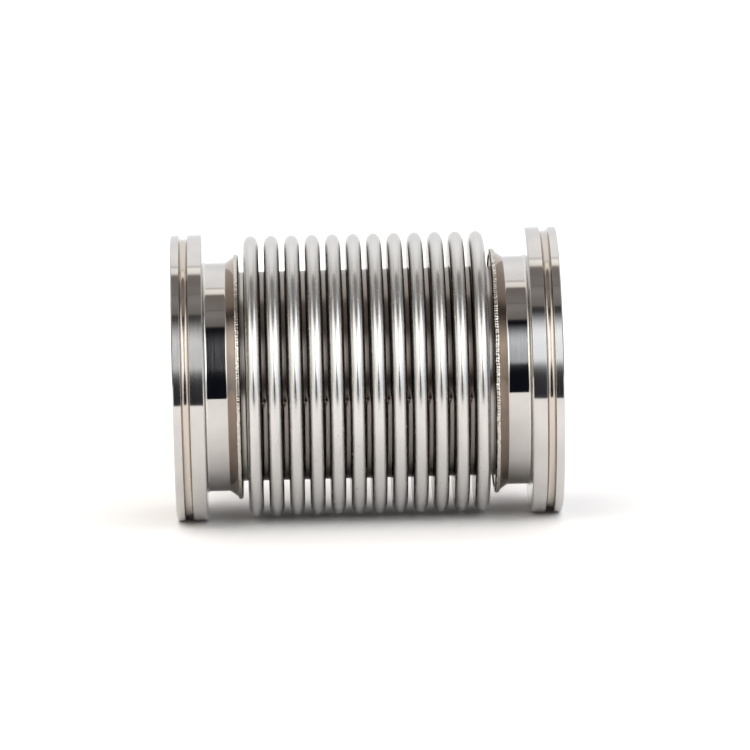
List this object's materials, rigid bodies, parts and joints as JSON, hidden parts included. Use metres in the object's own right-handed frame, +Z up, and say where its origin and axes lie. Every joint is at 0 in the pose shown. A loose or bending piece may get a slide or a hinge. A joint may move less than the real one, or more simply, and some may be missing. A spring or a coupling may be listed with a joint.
{
  "type": "metal bellows expansion joint",
  "caption": "Thin-walled convoluted steel bellows between two short necks with round grooved clamp flanges, used to take up movement in a pipe or vacuum line.",
  "frame": {"origin": "on the bore's centre line, midway between the two sealing faces", "axes": "+X along the bore from the fixed left end to the right end, +Z up as the joint lies on its two flange rims, -Y towards the side with the sheet's seam"},
  "size_m": [0.148, 0.11, 0.11],
  "materials": {
    "flange_steel": "turned and polished stainless steel",
    "neck_steel": "turned stainless steel with faint heat tint beside the weld",
    "weld_steel": "bright weld bead",
    "bellows_steel": "satin formed stainless sheet"
  },
  "bodies": {
    "left_end": {"flange_left": "flange_steel", "flange_weld_left": "weld_steel", "neck_left": "neck_steel", "lip_weld_left": "weld_steel", "bellows_cuff_left": "bellows_steel"},
    "crest_01_ring": {"crest_01": "bellows_steel"},
    "wall_01_band": {"wall_01": "bellows_steel"},
    "root_01_ring": {"root_01": "bellows_steel"},
    "crest_02_ring": {"crest_02": "bellows_steel"},
    "wall_02_band": {"wall_02": "bellows_steel"},
    "root_02_ring": {"root_02": "bellows_steel"},
    "crest_03_ring": {"crest_03": "bellows_steel"},
    "wall_03_band": {"wall_03": "bellows_steel"},
    "root_03_ring": {"root_03": "bellows_steel"},
    "crest_04_ring": {"crest_04": "bellows_steel"},
    "wall_04_band": {"wall_04": "bellows_steel"},
    "root_04_ring": {"root_04": "bellows_steel"},
    "crest_05_ring": {"crest_05": "bellows_steel"},
    "wall_05_band": {"wall_05": "bellows_steel"},
    "root_05_ring": {"root_05": "bellows_steel"},
    "crest_06_ring": {"crest_06": "bellows_steel"},
    "wall_06_band": {"wall_06": "bellows_steel"},
    "root_06_ring": {"root_06": "bellows_steel"},
    "crest_07_ring": {"crest_07": "bellows_steel"},
    "wall_07_band": {"wall_07": "bellows_steel"},
    "root_07_ring": {"root_07": "bellows_steel"},
    "crest_08_ring": {"crest_08": "bellows_steel"},
    "wall_08_band": {"wall_08": "bellows_steel"},
    "root_08_ring": {"root_08": "bellows_steel"},
    "crest_09_ring": {"crest_09": "bellows_steel"},
    "wall_09_band": {"wall_09": "bellows_steel"},
    "root_09_ring": {"root_09": "bellows_steel"},
    "crest_10_ring": {"crest_10": "bellows_steel"},
    "wall_10_band": {"wall_10": "bellows_steel"},
    "root_10_ring": {"root_10": "bellows_steel"},
    "crest_11_ring": {"crest_11": "bellows_steel"},
    "wall_11_band": {"wall_11": "bellows_steel"},
    "root_11_ring": {"root_11": "bellows_steel"},
    "crest_12_ring": {"crest_12": "bellows_steel"},
    "wall_12_band": {"wall_12": "bellows_steel"},
    "right_end": {"flange_right": "flange_steel", "flange_weld_right": "weld_steel", "neck_right": "neck_steel", "lip_weld_right": "weld_steel", "bellows_cuff_right": "bellows_steel"}
  },
  "joints": [
    {"name": "tilt_01", "type": "hinge", "parent": "left_end", "child": "crest_01_ring", "pos_m": [-0.04581, 0, 0], "axis": [0, 1, 0], "range_deg": [-0.75, 0.75], "stiffness_Nm_per_rad": 20},
    {"name": "stretch_01", "type": "slide", "parent": "crest_01_ring", "child": "wall_01_band", "axis": [1, 0, 0], "range_m": [-0.001, 0.001], "stiffness_N_per_m": 24000},
    {"name": "swing_01", "type": "hinge", "parent": "wall_01_band", "child": "root_01_ring", "pos_m": [-0.04081, 0, 0], "axis": [0, 0, 1], "range_deg": [-0.75, 0.75], "stiffness_Nm_per_rad": 20},
    {"name": "tilt_02", "type": "hinge", "parent": "root_01_ring", "child": "crest_02_ring", "pos_m": [-0.03794, 0, 0], "axis": [0, 1, 0], "range_deg": [-0.75, 0.75], "stiffness_Nm_per_rad": 20},
    {"name": "stretch_02", "type": "slide", "parent": "crest_02_ring", "child": "wall_02_band", "axis": [1, 0, 0], "range_m": [-0.001, 0.001], "stiffness_N_per_m": 24000},
    {"name": "swing_02", "type": "hinge", "parent": "wall_02_band", "child": "root_02_ring", "pos_m": [-0.03294, 0, 0], "axis": [0, 0, 1], "range_deg": [-0.75, 0.75], "stiffness_Nm_per_rad": 20},
    {"name": "tilt_03", "type": "hinge", "parent": "root_02_ring", "child": "crest_03_ring", "pos_m": [-0.03006, 0, 0], "axis": [0, 1, 0], "range_deg": [-0.75, 0.75], "stiffness_Nm_per_rad": 20},
    {"name": "stretch_03", "type": "slide", "parent": "crest_03_ring", "child": "wall_03_band", "axis": [1, 0, 0], "range_m": [-0.001, 0.001], "stiffness_N_per_m": 24000},
    {"name": "swing_03", "type": "hinge", "parent": "wall_03_band", "child": "root_03_ring", "pos_m": [-0.02506, 0, 0], "axis": [0, 0, 1], "range_deg": [-0.75, 0.75], "stiffness_Nm_per_rad": 20},
    {"name": "tilt_04", "type": "hinge", "parent": "root_03_ring", "child": "crest_04_ring", "pos_m": [-0.02219, 0, 0], "axis": [0, 1, 0], "range_deg": [-0.75, 0.75], "stiffness_Nm_per_rad": 20},
    {"name": "stretch_04", "type": "slide", "parent": "crest_04_ring", "child": "wall_04_band", "axis": [1, 0, 0], "range_m": [-0.001, 0.001], "stiffness_N_per_m": 24000},
    {"name": "swing_04", "type": "hinge", "parent": "wall_04_band", "child": "root_04_ring", "pos_m": [-0.01719, 0, 0], "axis": [0, 0, 1], "range_deg": [-0.75, 0.75], "stiffness_Nm_per_rad": 20},
    {"name": "tilt_05", "type": "hinge", "parent": "root_04_ring", "child": "crest_05_ring", "pos_m": [-0.01431, 0, 0], "axis": [0, 1, 0], "range_deg": [-0.75, 0.75], "stiffness_Nm_per_rad": 20},
    {"name": "stretch_05", "type": "slide", "parent": "crest_05_ring", "child": "wall_05_band", "axis": [1, 0, 0], "range_m": [-0.001, 0.001], "stiffness_N_per_m": 24000},
    {"name": "swing_05", "type": "hinge", "parent": "wall_05_band", "child": "root_05_ring", "pos_m": [-0.00931, 0, 0], "axis": [0, 0, 1], "range_deg": [-0.75, 0.75], "stiffness_Nm_per_rad": 20},
    {"name": "tilt_06", "type": "hinge", "parent": "root_05_ring", "child": "crest_06_ring", "pos_m": [-0.00644, 0, 0], "axis": [0, 1, 0], "range_deg": [-0.75, 0.75], "stiffness_Nm_per_rad": 20},
    {"name": "stretch_06", "type": "slide", "parent": "crest_06_ring", "child": "wall_06_band", "axis": [1, 0, 0], "range_m": [-0.001, 0.001], "stiffness_N_per_m": 24000},
    {"name": "swing_06", "type": "hinge", "parent": "wall_06_band", "child": "root_06_ring", "pos_m": [-0.00144, 0, 0], "axis": [0, 0, 1], "range_deg": [-0.75, 0.75], "stiffness_Nm_per_rad": 20},
    {"name": "tilt_07", "type": "hinge", "parent": "root_06_ring", "child": "crest_07_ring", "pos_m": [0.00144, 0, 0], "axis": [0, 1, 0], "range_deg": [-0.75, 0.75], "stiffness_Nm_per_rad": 20},
    {"name": "stretch_07", "type": "slide", "parent": "crest_07_ring", "child": "wall_07_band", "axis": [1, 0, 0], "range_m": [-0.001, 0.001], "stiffness_N_per_m": 24000},
    {"name": "swing_07", "type": "hinge", "parent": "wall_07_band", "child": "root_07_ring", "pos_m": [0.00644, 0, 0], "axis": [0, 0, 1], "range_deg": [-0.75, 0.75], "stiffness_Nm_per_rad": 20},
    {"name": "tilt_08", "type": "hinge", "parent": "root_07_ring", "child": "crest_08_ring", "pos_m": [0.00931, 0, 0], "axis": [0, 1, 0], "range_deg": [-0.75, 0.75], "stiffness_Nm_per_rad": 20},
    {"name": "stretch_08", "type": "slide", "parent": "crest_08_ring", "child": "wall_08_band", "axis": [1, 0, 0], "range_m": [-0.001, 0.001], "stiffness_N_per_m": 24000},
    {"name": "swing_08", "type": "hinge", "parent": "wall_08_band", "child": "root_08_ring", "pos_m": [0.01431, 0, 0], "axis": [0, 0, 1], "range_deg": [-0.75, 0.75], "stiffness_Nm_per_rad": 20},
    {"name": "tilt_09", "type": "hinge", "parent": "root_08_ring", "child": "crest_09_ring", "pos_m": [0.01719, 0, 0], "axis": [0, 1, 0], "range_deg": [-0.75, 0.75], "stiffness_Nm_per_rad": 20},
    {"name": "stretch_09", "type": "slide", "parent": "crest_09_ring", "child": "wall_09_band", "axis": [1, 0, 0], "range_m": [-0.001, 0.001], "stiffness_N_per_m": 24000},
    {"name": "swing_09", "type": "hinge", "parent": "wall_09_band", "child": "root_09_ring", "pos_m": [0.02219, 0, 0], "axis": [0, 0, 1], "range_deg": [-0.75, 0.75], "stiffness_Nm_per_rad": 20},
    {"name": "tilt_10", "type": "hinge", "parent": "root_09_ring", "child": "crest_10_ring", "pos_m": [0.02506, 0, 0], "axis": [0, 1, 0], "range_deg": [-0.75, 0.75], "stiffness_Nm_per_rad": 20},
    {"name": "stretch_10", "type": "slide", "parent": "crest_10_ring", "child": "wall_10_band", "axis": [1, 0, 0], "range_m": [-0.001, 0.001], "stiffness_N_per_m": 24000},
    {"name": "swing_10", "type": "hinge", "parent": "wall_10_band", "child": "root_10_ring", "pos_m": [0.03006, 0, 0], "axis": [0, 0, 1], "range_deg": [-0.75, 0.75], "stiffness_Nm_per_rad": 20},
    {"name": "tilt_11", "type": "hinge", "parent": "root_10_ring", "child": "crest_11_ring", "pos_m": [0.03294, 0, 0], "axis": [0, 1, 0], "range_deg": [-0.75, 0.75], "stiffness_Nm_per_rad": 20},
    {"name": "stretch_11", "type": "slide", "parent": "crest_11_ring", "child": "wall_11_band", "axis": [1, 0, 0], "range_m": [-0.001, 0.001], "stiffness_N_per_m": 24000},
    {"name": "swing_11", "type": "hinge", "parent": "wall_11_band", "child": "root_11_ring", "pos_m": [0.03794, 0, 0], "axis": [0, 0, 1], "range_deg": [-0.75, 0.75], "stiffness_Nm_per_rad": 20},
    {"name": "tilt_12", "type": "hinge", "parent": "root_11_ring", "child": "crest_12_ring", "pos_m": [0.04081, 0, 0], "axis": [0, 1, 0], "range_deg": [-0.75, 0.75], "stiffness_Nm_per_rad": 20},
    {"name": "stretch_12", "type": "slide", "parent": "crest_12_ring", "child": "wall_12_band", "axis": [1, 0, 0], "range_m": [-0.001, 0.001], "stiffness_N_per_m": 24000},
    {"name": "swing_12", "type": "hinge", "parent": "wall_12_band", "child": "right_end", "pos_m": [0.04581, 0, 0], "axis": [0, 0, 1], "range_deg": [-0.75, 0.75], "stiffness_Nm_per_rad": 20}
  ],
  "couplings": [
    {"joint": "stretch_02", "follows": "stretch_01", "ratio": 1},
    {"joint": "stretch_03", "follows": "stretch_01", "ratio": 1},
    {"joint": "stretch_04", "follows": "stretch_01", "ratio": 1},
    {"joint": "stretch_05", "follows": "stretch_01", "ratio": 1},
    {"joint": "stretch_06", "follows": "stretch_01", "ratio": 1},
    {"joint": "stretch_07", "follows": "stretch_01", "ratio": 1},
    {"joint": "stretch_08", "follows": "stretch_01", "ratio": 1},
    {"joint": "stretch_09", "follows": "stretch_01", "ratio": 1},
    {"joint": "stretch_10", "follows": "stretch_01", "ratio": 1},
    {"joint": "stretch_11", "follows": "stretch_01", "ratio": 1},
    {"joint": "stretch_12", "follows": "stretch_01", "ratio": 1},
    {"joint": "tilt_02", "follows": "tilt_01", "ratio": 1},
    {"joint": "tilt_03", "follows": "tilt_01", "ratio": 1},
    {"joint": "tilt_04", "follows": "tilt_01", "ratio": 1},
    {"joint": "tilt_05", "follows": "tilt_01", "ratio": 1},
    {"joint": "tilt_06", "follows": "tilt_01", "ratio": 1},
    {"joint": "tilt_08", "follows": "tilt_07", "ratio": 1},
    {"joint": "tilt_09", "follows": "tilt_07", "ratio": 1},
    {"joint": "tilt_10", "follows": "tilt_07", "ratio": 1},
    {"joint": "tilt_11", "follows": "tilt_07", "ratio": 1},
    {"joint": "tilt_12", "follows": "tilt_07", "ratio": 1},
    {"joint": "swing_02", "follows": "swing_01", "ratio": 1},
    {"joint": "swing_03", "follows": "swing_01", "ratio": 1},
    {"joint": "swing_04", "follows": "swing_01", "ratio": 1},
    {"joint": "swing_05", "follows": "swing_01", "ratio": 1},
    {"joint": "swing_06", "follows": "swing_01", "ratio": 1},
    {"joint": "swing_08", "follows": "swing_07", "ratio": 1},
    {"joint": "swing_09", "follows": "swing_07", "ratio": 1},
    {"joint": "swing_10", "follows": "swing_07", "ratio": 1},
    {"joint": "swing_11", "follows": "swing_07", "ratio": 1},
    {"joint": "swing_12", "follows": "swing_07", "ratio": 1}
  ]
}
